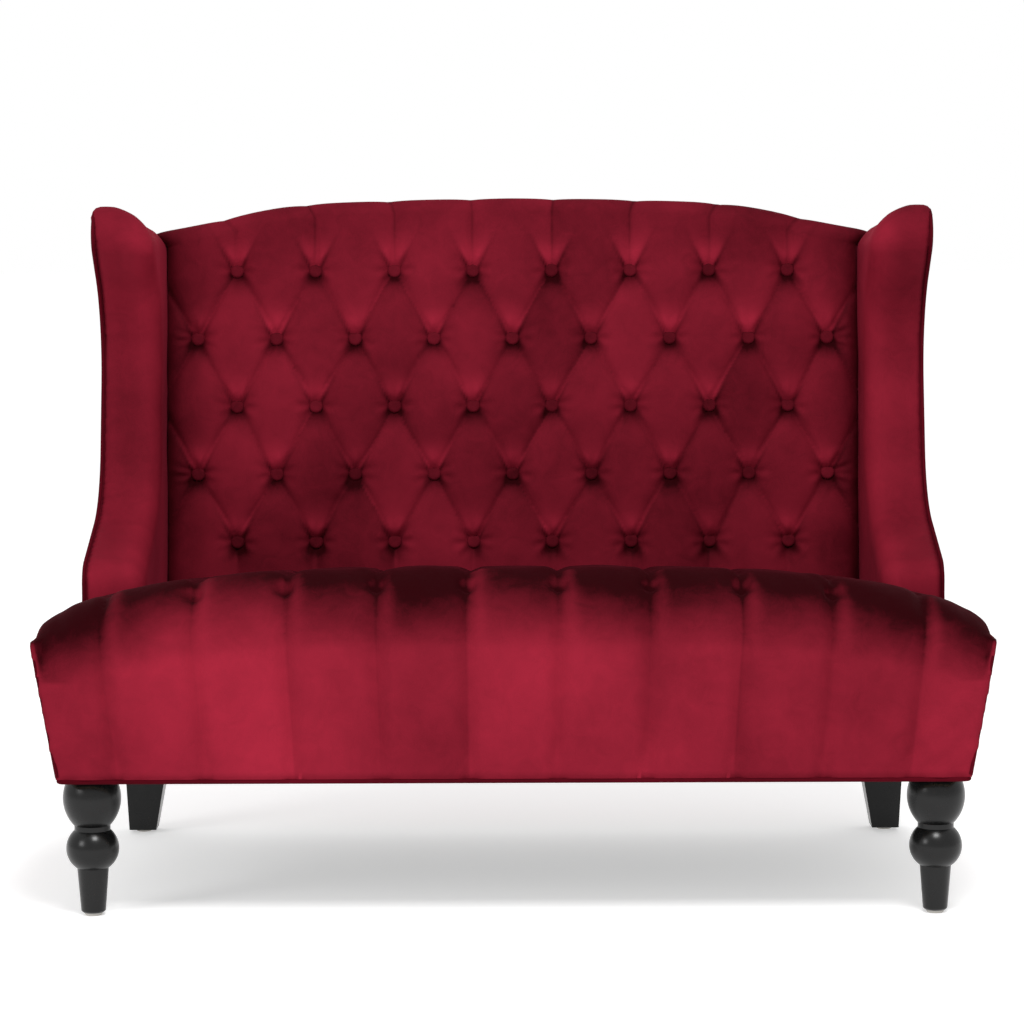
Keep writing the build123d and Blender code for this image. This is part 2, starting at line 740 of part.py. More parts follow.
# ---------------------------------------------------------------- frame of the back
top_wrap = cloth + fit_gap
top_rail_low = shoulder_height - top_wrap - back_rail_height
post_middle_depth = frame_back_depth + back_frame_thickness / 2
wing_screw_spots = [(back_y(z, post_middle_depth), z) for z in wing_screw_heights]
with BuildPart() as back_post:
    post_foot = up_the_back(frame_bottom) - rail_thickness
    with BuildSketch(back_plane(frame_back_depth)):
        with Locations((post_x, post_foot)):
            post_length = up_the_back(top_rail_low) - post_foot
            Rectangle(post_width, post_length, align=(Align.CENTER, Align.MIN))
    extrude(amount=back_frame_thickness)
    split(bisect_by=Plane.XY.offset(frame_bottom), keep=Keep.TOP)
    with BuildSketch(Plane.YZ.offset(ply_inner)):
        with Locations(*wing_screw_spots):
            Circle(wing_screw_diameter / 2 + hole_gap)
    extrude(amount=ply_thickness - wing_screw_length - fit_gap, mode=Mode.SUBTRACT)
    with BuildSketch(Plane.XZ.offset(-rear_rail_front)):
        with Locations(*post_bolt_spots):
            Circle(post_bolt_diameter / 2 + hole_gap)
    extrude(amount=-post_bolt_length - fit_gap, mode=Mode.SUBTRACT)

keep_pair(back_post.part, "back_post")

with BuildPart() as back_top_rail:
    extrude(arch_face(frame_back_depth, ply_inner, top_rail_low, top_wrap).sketch, amount=back_frame_thickness)

keep(back_top_rail.part, "back_top_rail")

with BuildPart() as back_lower_rail:
    with BuildSketch(back_plane(frame_back_depth)):
        with Locations((0, up_the_back(back_rail_bottom))):
            Rectangle(2 * (ply_inner - post_width), back_rail_height, align=(Align.CENTER, Align.MIN))
    extrude(amount=back_frame_thickness)

keep(back_lower_rail.part, "back_lower_rail")

with BuildPart() as back_centre_post:
    centre_low = up_the_back(back_rail_bottom) + back_rail_height
    with BuildSketch(back_plane(frame_back_depth)):
        with Locations((0, centre_low)):
            centre_length = up_the_back(top_rail_low) - centre_low
            Rectangle(post_width, centre_length, align=(Align.CENTER, Align.MIN))
    extrude(amount=back_frame_thickness)

keep(back_centre_post.part, "back_centre_post")

# ---------------------------------------------------------------- places of the tufts
row_step = tuft_row_pitch / lean_cos
half_pitch = tuft_pitch / 2
lowest_row = up_the_back(tuft_first_row)
widest = tuft_columns - 1  # outermost tuft of the longer rows, in half pitches
top_row = tuft_rows - 1


def tuft_spot(column, row):
    """Place in the leaning plane of a column of half pitches and a row."""
    return (column * half_pitch, lowest_row + row * row_step)


tuft_spots = [tuft_spot(column, row) for row in range(tuft_rows)
              for column in range(-widest, widest + 1) if (column + row) % 2]

# ---------------------------------------------------------------- webbing and lining behind the foam
with BuildPart() as back_webbing:
    with BuildSketch(back_plane(frame_front_depth)):
        with Locations(*[tuft_spot(0, row + 0.5) for row in range(top_row)]):
            Rectangle(2 * ply_inner - post_width, webbing_width)
    extrude(amount=webbing_thickness)

keep(back_webbing.part, "back_webbing")


def pierced(face, depth, thickness):
    """Sheet or slab of the back with a hole for the twine of each tuft."""
    with BuildPart() as sheet:
        extrude(face.sketch, amount=thickness)
        with BuildSketch(back_plane(depth)):
            with Locations(*tuft_spots):
                Circle(twine_diameter / 2 + hole_gap)
        extrude(amount=thickness, mode=Mode.SUBTRACT)
    return sheet.part


inner_half_width = back_half - cloth - fit_gap
inner_foot = back_cushion_bottom + cloth + fit_gap
lining_face = arch_face(lining_depth, inner_half_width, inner_foot, top_wrap)
keep(pierced(lining_face, lining_depth, back_cloth_thickness), "back_lining")

foam_face = arch_face(foam_depth, inner_half_width, inner_foot, top_wrap)
keep(pierced(foam_face, foam_depth, cover_inner_depth - fit_gap - foam_depth), "back_foam")

# ---------------------------------------------------------------- tufted back cover
edge_column = back_half / half_pitch
foot_row = (up_the_back(back_cushion_bottom) - lowest_row) / row_step
peak_row = (up_the_back(arch_height) - lowest_row) / row_step


def pillow_outline(column, row):
    """Corners of the pillow round a place with no tuft, stretched to the edges of the back."""
    outer = column if abs(column) < widest else (edge_column if column > 0 else -edge_column)
    inner = column - 1 if column > 0 else column + 1
    if row == 0 and abs(column) == widest:
        return [(inner, 0), (column, 1), (outer, 1), (outer, foot_row), (inner, foot_row)]
    if row == top_row and abs(column) == widest:
        return [(inner, row), (column, row - 1), (outer, row - 1), (outer, peak_row), (inner, peak_row)]
    if abs(column) == widest:
        return [(inner, row), (column, row - 1), (outer, row - 1), (outer, row + 1), (column, row + 1)]
    if row == 0:
        return [(column - 1, 0), (column, 1), (column + 1, 0), (column + 1, foot_row), (column - 1, foot_row)]
    if row == top_row:
        return [(column - 1, row), (column, row - 1), (column + 1, row),
                (column + 1, peak_row), (column - 1, peak_row)]
    return [(column - 1, row), (column, row - 1), (column + 1, row), (column, row + 1)]


pillow_root_depth = crease_depth - pillow_root
pillow_foot = back_cushion_bottom + edge_roll
pillow_bound = arch_face(pillow_root_depth, back_half - edge_roll, pillow_foot, edge_roll)
with BuildPart() as back_cover:
    for row in range(tuft_rows):
        for column in range(-widest, widest + 1):
            if (column + row) % 2:
                continue
            with BuildSketch(back_plane(pillow_root_depth)):
                with BuildLine():
                    Polyline(*[tuft_spot(*corner) for corner in pillow_outline(column, row)], close=True)
                make_face()
                add(pillow_bound.sketch_local, mode=Mode.INTERSECT)
                offset(amount=-pillow_gap / 2, kind=Kind.INTERSECTION)
    extrude(amount=pillow_root + pillow_height, taper=pillow_taper)
    pad_face = arch_face(frame_back_depth, back_half, back_cushion_bottom, 0)
    extrude(pad_face.sketch, amount=crease_depth - frame_back_depth)
    with BuildSketch(back_plane(pit_floor_depth)):
        with Locations(*tuft_spots):
            RegularPolygon(button_diameter / 2 + pit_room, 8)
    extrude(amount=pit_depth + pillow_height, taper=-pit_taper, mode=Mode.SUBTRACT)
    frame_room = arch_face(frame_back_depth, half_body, frame_bottom, cloth)
    extrude(frame_room.sketch, amount=lining_depth + fit_gap - frame_back_depth, mode=Mode.SUBTRACT)
    foam_room = arch_face(frame_front_depth, back_half - cloth, back_cushion_bottom + cloth, cloth)
    extrude(foam_room.sketch, amount=cover_inner_depth - frame_front_depth, mode=Mode.SUBTRACT)
    with BuildSketch(back_plane(cover_inner_depth)):
        with Locations(*tuft_spots):
            Circle(twine_diameter / 2 + hole_gap)
    extrude(amount=cloth, mode=Mode.SUBTRACT)

keep(back_cover.part, "back_cover")

# ---------------------------------------------------------------- buttons, twines and toggles
with BuildPart() as buttons:
    with BuildSketch(back_plane(pit_floor_depth + fit_gap)):
        with Locations(*tuft_spots):
            Circle(button_diameter / 2)
    extrude(amount=button_height)
    rims = buttons.faces().filter_by(GeomType.PLANE).group_by(Axis((0, 0, 0), back_plane(0).z_dir))[-1]
    fillet(rims.edges(), button_rim)

keep(buttons.part, "back_buttons")

with BuildPart() as twines:
    with BuildSketch(back_plane(frame_front_depth + toggle_thickness)):
        with Locations(*tuft_spots):
            Circle(twine_diameter / 2)
    extrude(amount=pit_floor_depth + fit_gap - frame_front_depth - toggle_thickness)

keep(twines.part, "tuft_twines")

with BuildPart() as toggles:
    with BuildSketch(back_plane(frame_front_depth)):
        with Locations(*tuft_spots):
            Circle(toggle_diameter / 2)
    extrude(amount=toggle_thickness)
    chamfer(toggles.edges().filter_by(GeomType.CIRCLE), toggle_thickness / 4)

keep(toggles.part, "tuft_toggles")

# ---------------------------------------------------------------- wing outline, seen from the side
wing_back_y = back_y(wing_head_height, 0) + welt_diameter
shoulder_back_z = shoulder_height - (crown_depth - frame_back_depth) * lean_sin


def wing_route(foot_height):
    """Front edge of a wing, up from its foot, round the head and back along its top."""
    return [
        (wing_foot_y, foot_height),
        (wing_foot_y, wing_arm_height),
        (wing_foot_y + wing_arm_run, wing_arm_height + wing_arm_run * wing_arm_slope),
        (wing_foot_y + wing_waist_run, wing_waist_height),
        (wing_foot_y + wing_head_run, wing_head_height),
        (wing_back_y, shoulder_back_z),
    ]


def wing_face(x, foot_height, inset):
    """Side view of a wing, cut off at the leaning outside back, a little inside its edge."""
    route = wing_route(foot_height)
    with BuildSketch(Plane.YZ.offset(x)) as face:
        with BuildLine() as edge:
            FilletPolyline(*route, radius=wing_corner_radii)
            Polyline(route[-1], (route[-1][0], foot_height), route[0])
        make_face()
        offset(amount=-inset, kind=Kind.INTERSECTION)
        with BuildLine():
            Polyline(
                (back_y(foot_height - rail_height, frame_back_depth), foot_height - rail_height),
                (back_y(arch_height, frame_back_depth), arch_height),
                (overall_depth, arch_height),
                (overall_depth, foot_height - rail_height),
                close=True,
            )
        make_face(mode=Mode.SUBTRACT)
    return face.sketch


def wing_pad(inner_x, outer_x, foot_height, inset):
    """Padded inner side of a wing, rounded at its front and top."""
    with BuildPart() as pad:
        extrude(wing_face(inner_x, foot_height, inset), amount=outer_x - inner_x)
        rim = pad.faces().sort_by(Axis.X)[0].edges()
        rounded = [edge for edge in rim if edge.center().Z > foot_height + 1
                   and edge.center().Y < back_y(edge.center().Z, crown_depth)]
        fillet(rounded, wing_edge_roll - inset)
        extrude(frame_room.sketch, amount=lining_depth + fit_gap - frame_back_depth, mode=Mode.SUBTRACT)
    return pad.part


# ---------------------------------------------------------------- wing covers, foam and plywood panels
with BuildPart() as wing_cover:
    add(wing_pad(wing_inner, panel_inner, wing_pad_bottom, 0))
    add(wing_pad(wing_inner + cloth, panel_inner + cloth, wing_pad_bottom - cloth, cloth), mode=Mode.SUBTRACT)

keep_pair(wing_cover.part, "wing_cover")

with BuildPart() as wing_foam:
    add(wing_pad(wing_inner + cloth + fit_gap, panel_inner - fit_gap, wing_pad_bottom, cloth + fit_gap))
    room_inset = wing_frame_setback - fit_gap
    panel_room = wing_face(ply_inner - fit_gap, rail_top - wing_frame_setback, room_inset)
    extrude(panel_room, amount=ply_thickness + 2 * fit_gap, mode=Mode.SUBTRACT)

keep_pair(wing_foam.part, "wing_foam")

with BuildPart() as wing_panel:
    extrude(wing_face(ply_inner, rail_top - wing_frame_setback, wing_frame_setback), amount=ply_thickness)
    with BuildSketch(Plane.YZ.offset(panel_inner)):
        with Locations(*wing_screw_spots):
            Circle(wing_screw_diameter / 2 + hole_gap)
    extrude(amount=-ply_thickness, mode=Mode.SUBTRACT)
    with BuildSketch(Plane.YZ.offset(panel_inner)):
        with Locations(*wing_screw_spots):
            Circle(wing_screw_diameter + hole_gap)
    extrude(amount=-wing_screw_diameter / 2, taper=45, mode=Mode.SUBTRACT)

keep_pair(wing_panel.part, "wing_panel")

with BuildPart() as wing_screws:
    with BuildSketch(Plane.YZ.offset(panel_inner)):
        with Locations(*wing_screw_spots):
            Circle(wing_screw_diameter / 2)
    extrude(amount=-wing_screw_length)
    with BuildSketch(Plane.YZ.offset(panel_inner)):
        with Locations(*wing_screw_spots):
            Circle(wing_screw_diameter)
    extrude(amount=-wing_screw_diameter / 2, taper=45)
    mirror(about=Plane.YZ)

keep(wing_screws.part, "wing_screws")

with BuildPart() as post_bolts:
    with BuildSketch(Plane.XZ.offset(-rear_rail_front)):
        with Locations(*[(side * x, z) for side in (-1, 1) for x, z in post_bolt_spots]):
            Circle(post_bolt_diameter / 2)
    extrude(amount=-post_bolt_length)
    with BuildSketch(Plane.XZ.offset(-rear_rail_front)):
        with Locations(*[(side * x, z) for side in (-1, 1) for x, z in post_bolt_spots]):
            RegularPolygon(post_bolt_diameter, 6)
    extrude(amount=post_bolt_diameter / 2)

keep(post_bolts.part, "post_bolts")

# ---------------------------------------------------------------- outside panels and wing welts
wing_welt_x = panel_inner + fit_gap + side_welt_radius
wing_welt_points = [(wing_welt_x, y, z) for y, z in wing_route(cover_bottom)]
wing_head_y = wing_foot_y + wing_head_run
welt_end_y = back_y(shoulder_back_z, frame_back_depth)
welt_end_share = (welt_end_y - wing_head_y) / (wing_back_y - wing_head_y)
welt_end_z = wing_head_height + welt_end_share * (shoulder_back_z - wing_head_height)
wing_welt_end = (wing_welt_x, welt_end_y, welt_end_z)
keep_pair(cord(wing_welt_points[:-1] + [wing_welt_end], wing_corner_radii, side_welt_diameter), "wing_welt")

with BuildPart() as wing_outside:
    panel_edge = side_welt_radius + fit_gap
    extrude(wing_face(panel_inner, cover_bottom - panel_edge, panel_edge), amount=skin_board)

keep_pair(wing_outside.part, "wing_outside_panel")

with BuildPart() as outside_back:
    panel_foot = cover_bottom + crown_depth * lean_sin
    extrude(arch_face(0, half_body, panel_foot, 0).sketch, amount=skin_board)

keep(outside_back.part, "outside_back_panel")
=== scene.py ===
import json
from math import cos, pi, radians, sin, tan

import bpy
import numpy as np
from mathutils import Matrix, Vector


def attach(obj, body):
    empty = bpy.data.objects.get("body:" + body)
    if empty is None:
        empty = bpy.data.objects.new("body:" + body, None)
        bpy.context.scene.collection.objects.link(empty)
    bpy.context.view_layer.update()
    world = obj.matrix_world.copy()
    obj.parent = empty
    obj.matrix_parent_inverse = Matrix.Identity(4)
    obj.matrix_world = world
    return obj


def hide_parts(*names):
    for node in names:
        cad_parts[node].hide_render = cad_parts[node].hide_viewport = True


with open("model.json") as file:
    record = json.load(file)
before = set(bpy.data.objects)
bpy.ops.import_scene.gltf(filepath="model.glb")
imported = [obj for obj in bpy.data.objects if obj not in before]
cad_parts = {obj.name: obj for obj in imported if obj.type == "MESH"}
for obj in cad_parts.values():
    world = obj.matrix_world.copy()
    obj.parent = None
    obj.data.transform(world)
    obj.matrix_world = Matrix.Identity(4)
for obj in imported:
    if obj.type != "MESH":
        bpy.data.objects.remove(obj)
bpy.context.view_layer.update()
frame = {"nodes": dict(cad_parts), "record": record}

# %% [markdown]
# A tufted garnet settee, dressed over its frame. The frame gives every place in metres:
# X across, -Y towards the viewer, Z up.

# %% [markdown]
# The camera stands straight in front at sitting eye height, far off with a long lens, and looks
# a little down, so that the whole settee fits with small margins.

# %% Set up the camera
CAMERA_PLACE = (0.0, -4.356, 0.856)
CAMERA_TILT = 4.94
CAMERA_ROLL = 0.2
FOCAL_PIXELS = 3278
IMAGE_PIXELS = 1024
SENSOR_WIDTH = 36
bpy.ops.object.camera_add(location=CAMERA_PLACE)
camera = bpy.context.object
camera.rotation_euler = (radians(90 - CAMERA_TILT), radians(CAMERA_ROLL), 0)
camera.data.sensor_width = SENSOR_WIDTH
camera.data.lens = FOCAL_PIXELS * SENSOR_WIDTH / IMAGE_PIXELS
bpy.context.scene.camera = camera
bpy.context.scene.view_settings.view_transform = "Standard"
print("lens", camera.data.lens)

# %% [markdown]
# Shader maths reads best as sums and products. A small class wraps a socket and makes the
# Math node for each operator, so that `2 * noise + 0.1` builds the nodes that compute it. Every
# other node comes from one function: its settings are set first, then its inputs are filled.


# %% A socket that does sums
class Sock:
    def __init__(self, tree, socket):
        self.tree, self.socket = tree, socket

    def math(self, operation, first, second):
        return node(self.tree, "ShaderNodeMath", {0: first, 1: second}, operation=operation)

    def __add__(self, other): return self.math("ADD", self, other)
    def __radd__(self, other): return self.math("ADD", other, self)
    def __sub__(self, other): return self.math("SUBTRACT", self, other)
    def __rsub__(self, other): return self.math("SUBTRACT", other, self)
    def __mul__(self, other): return self.math("MULTIPLY", self, other)
    def __rmul__(self, other): return self.math("MULTIPLY", other, self)


def fill(made, sockets):
    """Set or link a node's inputs, each told by its name or its number."""
    for key, value in sockets.items():
        if isinstance(value, Sock):
            value.tree.links.new(value.socket, made.inputs[key])
        else:
            made.inputs[key].default_value = value


def node(tree, kind, sockets, out=0, **settings):
    """Any node, with its settings and its inputs, and one of its outputs."""
    made = tree.nodes.new(kind)
    for name, value in settings.items():
        setattr(made, name, value)
    fill(made, sockets)
    return Sock(tree, made.outputs[out])


def noise(place, scale, **sockets):
    """A noise over the object, some 1 / scale metres from patch to patch."""
    return node(place.tree, "ShaderNodeTexNoise", {"Vector": place, "Scale": scale, **sockets})


def mix(share, low, high):
    """A colour between two colours."""
    sockets = {0: share, 6: (*low, 1), 7: (*high, 1)}
    return node(share.tree, "ShaderNodeMix", sockets, out=2, data_type="RGBA")


def blank(name):
    """A material, its shader and its object coordinates."""
    material = bpy.data.materials.new(name)
    material.use_nodes = True
    tree = material.node_tree
    return material, tree.nodes["Principled BSDF"], node(tree, "ShaderNodeTexCoord", {}, out=3)


# %% [markdown]
# Velvet: the pile stands up, so it is dark seen straight on and light at grazing angles, which
# the sheen does. The nap lies differently from patch to patch, which broad noise gives, and a
# fine noise is the pile itself. Each piece carries painted light and shade in its own attribute:
# painted highlights on pleats, fronts and edges, painted shade in creases, on tops and under
# buttons, and on some pieces a tone that differs by chance. The velvet reads it: more is lighter.


# %% Make the velvet
def velvet(name, dark, light):
    material, shader, place = blank(name)
    patches = noise(place, 5.0, Detail=3.0, Roughness=0.6)
    nap = noise(place, 38.0, Detail=4.0, Roughness=0.65, Distortion=1.2)
    pile = noise(place, 1400.0, Detail=2.0)
    # Painted light and shade of the piece, with some tone by chance, read from its own attribute.
    painted_light_and_tone = node(place.tree, "ShaderNodeAttribute", {}, out=2, attribute_name="painted_light_and_tone")
    share = patches * 0.52 + nap * 0.16 + pile * 0.20 - 0.21 + painted_light_and_tone * 0.62
    relief = {"Strength": 0.35, "Distance": 0.0012, "Height": pile * 0.4 + nap * 0.9}
    fill(shader, {
        "Base Color": mix(share, dark, light),
        "Roughness": 0.62 + nap * 0.25,
        "Sheen Weight": 0.10,
        "Sheen Roughness": 0.30,
        "Sheen Tint": (0.70, 0.06, 0.12, 1),
        "Specular IOR Level": 0.02,
        "Normal": node(place.tree, "ShaderNodeBump", relief),
    })
    return material


garnet = velvet("garnet velvet", (0.018, 0.0005, 0.0015), (0.40, 0.020, 0.045))
# The piping is the same velvet, painted darker: painted shade for the dark line it draws along
# the edges.
piping_velvet_painted_darker = velvet("garnet velvet piping", (0.025, 0.0006, 0.002), (0.19, 0.006, 0.018))

# %% [markdown]
# The legs are black lacquer with a soft shine. Everything inside is plain: pine, plywood, foam,
# zinc-plated steel and cloths. It can't be seen, but each piece still gets its own finish.


# %% Make the other finishes
def plain(name, low, high, rough, scale, metal=0.0):
    """A finish with a slight grain that its colour, its gloss and its relief share."""
    material, shader, place = blank(name)
    grain = noise(place, scale, Detail=4.0)
    relief = {"Strength": 0.12, "Distance": 0.0006, "Height": grain}
    fill(shader, {
        "Base Color": mix(grain, low, high),
        "Roughness": grain * 0.16 + (rough - 0.08),
        "Metallic": metal,
        "Normal": node(place.tree, "ShaderNodeBump", relief),
    })
    return material


finishes = {
    "garnet_velvet": garnet,
    "velvet_welt": piping_velvet_painted_darker,
    "velvet_button": garnet,
    "black_leg": plain("black lacquer", (0.002, 0.002, 0.002), (0.004, 0.004, 0.004), 0.26, 60),
    "glide": plain("glide plastic", (0.40, 0.38, 0.35), (0.50, 0.48, 0.45), 0.5, 90),
    "foam": plain("foam", (0.75, 0.68, 0.45), (0.85, 0.80, 0.60), 0.9, 500),
    "black_cambric": plain("black cambric", (0.01, 0.01, 0.01), (0.03, 0.03, 0.03), 0.9, 700),
    "lining_felt": plain("felt", (0.32, 0.29, 0.24), (0.45, 0.42, 0.36), 0.9, 400),
    "webbing": plain("webbing", (0.50, 0.44, 0.30), (0.62, 0.56, 0.42), 0.85, 600),
    "twine": plain("twine", (0.60, 0.56, 0.45), (0.75, 0.72, 0.62), 0.8, 900),
    "toggle": plain("toggle plastic", (0.70, 0.70, 0.68), (0.80, 0.80, 0.78), 0.5, 90),
    "plywood": plain("plywood", (0.42, 0.28, 0.14), (0.58, 0.42, 0.24), 0.6, 25),
    "zinc_steel": plain(
        "zinc-plated steel", (0.45, 0.45, 0.46), (0.62, 0.62, 0.63), 0.35, 120, metal=1.0),
    "pine": plain("pine", (0.55, 0.36, 0.17), (0.70, 0.50, 0.28), 0.6, 20),
}
gloss = finishes["black_leg"].node_tree.nodes["Principled BSDF"]
fill(gloss, {"Specular IOR Level": 0.30})
slots = {part["node"]: part["material_slot"] for part in frame["record"]["subparts"]}
for name, part in frame["nodes"].items():
    part.data.materials.clear()
    part.data.materials.append(finishes[slots[name]])
print("finished nodes", len(frame["nodes"]))

# %% [markdown]
# Nearly every soft form below is a product of two simple ones: a ramp, which climbs from 0 to 1
# between two places, and a hill, which is 1 in its middle and falls off on both sides. They
# work on whole arrays of vertices at once.


# %% A ramp and a hill
def ramp(value, start, end):
    """0 at the start and before it, 1 at the end and past it. It may climb either way."""
    return np.clip((value - start) / (end - start), 0, 1)


def hill(value, width, middle=0.0, power=2):
    """1 in the middle, about a third at one width from it. A higher power is steeper."""
    return np.exp(-np.abs((value - middle) / width) ** power)


def swell(share, flat, power=0.62):
    """Soft swelling between two creases, from 0 at a crease to 1 in the middle."""
    return np.clip(1 - np.abs(2 * (share % 1) - 1) ** flat, 0, 1) ** power


# %% [markdown]
# The back leans by six degrees. A place on it is told by how far across it is, how far up the
# lean and how far it stands in front of the outside back.

# %% Places on the leaning back
LEAN = radians(6)
FRAME_BOTTOM = 0.174
FOOT_Y = 0.28005
CROWN_DEPTH = 0.1137


def up(height):
    """Distance up the lean of a height that is read on the tufted face."""
    return (height - FRAME_BOTTOM - CROWN_DEPTH * sin(LEAN)) / cos(LEAN)


def on_back(across, rise, depth):
    """True places from places on the lean."""
    y = FOOT_Y - depth * cos(LEAN) + rise * sin(LEAN)
    z = FRAME_BOTTOM + depth * sin(LEAN) + rise * cos(LEAN)
    return np.stack([across, y, z], axis=1)


# %% [markdown]
# Deep buttoning pulls the velvet into diamonds. The buttons stand in five staggered rows, and
# creases run slantwise from button to button. The cloth swells softly between them, and each
# crease is drawn twice: once wide and soft, once narrow and crisp. Real creases aren't quite
# straight, so they wander a little.

# %% Diamonds of the back
HALF_PITCH = 0.055
ROW_PITCH = 0.0943 / cos(LEAN)
FIRST_ROW = up(0.4225)
ROWS = 5
LAST_COLUMN = 8
SOFT_CREASE = 0.0050
CRISP_CREASE = 0.0050
columns = range(-LAST_COLUMN, LAST_COLUMN + 1)
buttons = [(column, row) for row in range(ROWS) for column in columns if (column + row) % 2]
spots = [(column * HALF_PITCH, FIRST_ROW + row * ROW_PITCH) for column, row in buttons]
chance = np.random.default_rng(7)
print("buttons", len(spots))


def net_place(across, rise):
    """Column and row in the net of buttons. Past the outer rows, the row stays."""
    return across / HALF_PITCH, np.clip((rise - FIRST_ROW) / ROW_PITCH, 0, ROWS - 1)


def diamonds(across, rise):
    """How far the velvet stands below its crown between the creases (a negative distance)."""
    column, row = net_place(across, rise)
    beyond = np.abs(rise - FIRST_ROW - row * ROW_PITCH) / ROW_PITCH
    wander = 0.035 * np.sin(across * 31 + rise * 17) + 0.03 * np.sin(rise * 43 - across * 13 + 1)
    one = (column + row - 1 + wander) / 2
    two = (column - row - 1 - wander) / 2
    soft = (swell(one, 2.2) * swell(two, 2.2)) ** 0.9
    crisp = (swell(one, 4.0, 0.5) * swell(two, 4.0, 0.5)) ** 0.8
    fade = np.clip(1 - 0.40 * beyond, 0.30, 1)
    return -(SOFT_CREASE * (1 - soft) + CRISP_CREASE * (1 - crisp)) * fade


# %% [markdown]
# Each button sinks into a pit. Above it the spare cloth is folded into a small pleat, which
# widens upward like a wedge, and small folds fan out around it. At the ends of the longer rows
# the cloth is pulled towards the wings, so longer folds run outward there. No two buttons pull
# alike, which a chance factor gives.

# %% Pull of the buttons
PIT_DEPTH, PIT_RADIUS = 0.0085, 0.0125
DIMPLE_DEPTH, DIMPLE_RADIUS = 0.0045, 0.024
PLEAT_HEIGHT = 0.0052
FAN_HEIGHT = 0.0011
OUTWARD_FOLD_HEIGHT = 0.0016
ROW_END = 0.43
PULL_REACH = 0.06


def button_pull(side, above, x, pull):
    """Pit, pleat and folds of the button that stands at x, from places told from its middle."""
    far = np.hypot(side, above)
    pit = -PIT_DEPTH * pull * hill(far, PIT_RADIUS) - DIMPLE_DEPTH * hill(far, DIMPLE_RADIUS)
    high = np.clip(above, 0, None)
    wedge = hill(side, 0.50 * high + 0.003, power=6) * ramp(high, 0, 0.008)
    pleat = PLEAT_HEIGHT * pull * wedge * hill(high, 0.018, 0.012)
    folds = FAN_HEIGHT * np.sin(np.arctan2(above, side) * 8 + x * 50) * hill(far, 0.010, 0.019)
    if abs(x) > ROW_END:
        outward = side * np.sign(x) > 0
        waves = np.sin(above / (far + 0.004) * 15)
        folds += OUTWARD_FOLD_HEIGHT * waves * outward * hill(far, 0.011, 0.021)
    return pit + pleat + folds


def relief_of_back(across, rise):
    """How far the velvet stands below its highest crown (a negative distance)."""
    lift = diamonds(across, rise)
    for (x, v), pull in zip(spots, chance.uniform(0.85, 1.15, len(spots))):
        near = np.hypot(across - x, rise - v) < PULL_REACH
        lift[near] += button_pull(across[near] - x, rise[near] - v, x, pull)
    return lift


# %% [markdown]
# The folds show more in painted light than in their height: a painted highlight in the pleat
# above a button, painted shade along the pleat's brims, a painted shadow under the button,
# painted shade beside the wings and along the seams on the roll above the rows, and the roll
# painted darker than the rows. Each diamond was stroked its own way, so each gets a tone by
# chance.

# %% Painted light and shade of the back
# Painted light and shade on the back: more is lighter, less is darker.
BESIDE_WING_SHADE = -0.24
PLEAT_HIGHLIGHT = 0.62
BRIM_SHADE = -0.38
UNDER_BUTTON_SHADOW = -0.60
ROLL_SEAM_SHADE = -0.15
ROWS_PAINTED_LIGHTER = 0.12
PAINT_REACH = 0.075


def painted_light_at_button(side, above, pull):
    """Painted highlight, shade and shadow around one button, from places told from its middle."""
    high, low = np.clip(above, 0, None), np.clip(-above, 0, None)
    inside = hill(side, 0.50 * high + 0.004, power=8) * ramp(above, 0, 0.006)
    brim = hill(np.abs(side), 0.0028, 0.53 * high + 0.005) * (above > 0)
    under = hill(side, 0.50 * low + 0.009, power=4) * (above < 0) * hill(low, 0.021)
    pleat = PLEAT_HIGHLIGHT * pull * inside * hill(high, 0.032)
    return pleat + BRIM_SHADE * brim * hill(high, 0.020, power=1) + UNDER_BUTTON_SHADOW * under


def painted_light_and_tone_of_back(across, rise):
    """Painted light and shade all over the back, with a tone by chance for each diamond."""
    column, row = net_place(across, rise)
    # Painted shade beside the wings, a chance tone for each diamond, the rows painted lighter
    # than the roll, painted shade on its seams, and painted light and shade at each button.
    painted_light_and_tone = BESIDE_WING_SHADE * ramp(np.abs(across), 0.42, 0.48)
    one = np.floor((column + row - 1) / 2).astype(int)
    two = np.floor((column - row - 1) / 2).astype(int)
    painted_light_and_tone = painted_light_and_tone + chance.uniform(-0.16, 0.07, (40, 40))[one % 40, two % 40]
    above_rows = ramp((rise - FIRST_ROW) / ROW_PITCH, ROWS - 1, ROWS)
    painted_light_and_tone += ROWS_PAINTED_LIGHTER * (1 - above_rows)
    seam = np.abs(column % 2 - 1) * HALF_PITCH
    painted_light_and_tone += ROLL_SEAM_SHADE * hill(seam, 0.0022) * np.clip(above_rows * 5, 0, 1)
    for (x, v), pull in zip(spots, chance.uniform(0.6, 1.3, len(spots))):
        near = np.hypot(across - x, rise - v) < PAINT_REACH
        painted_light_and_tone[near] += painted_light_at_button(across[near] - x, rise[near] - v, pull)
    return painted_light_and_tone


# %% [markdown]
# Four small steps are needed for every soft piece: start from a flat grid, put its vertices
# where an array says, keep its painted light and shade, and say which frame nodes it stands for.


# %% Steps for a soft piece
def grid(name, across, along):
    """A flat unit grid, and its vertices' shares across and along it."""
    bpy.ops.mesh.primitive_grid_add(x_subdivisions=across, y_subdivisions=along, size=1)
    made = bpy.context.object
    made.name = name
    flat = np.empty(len(made.data.vertices) * 3)
    made.data.vertices.foreach_get("co", flat)
    flat = flat.reshape(-1, 3)
    return made, flat[:, 0] + 0.5, flat[:, 1] + 0.5


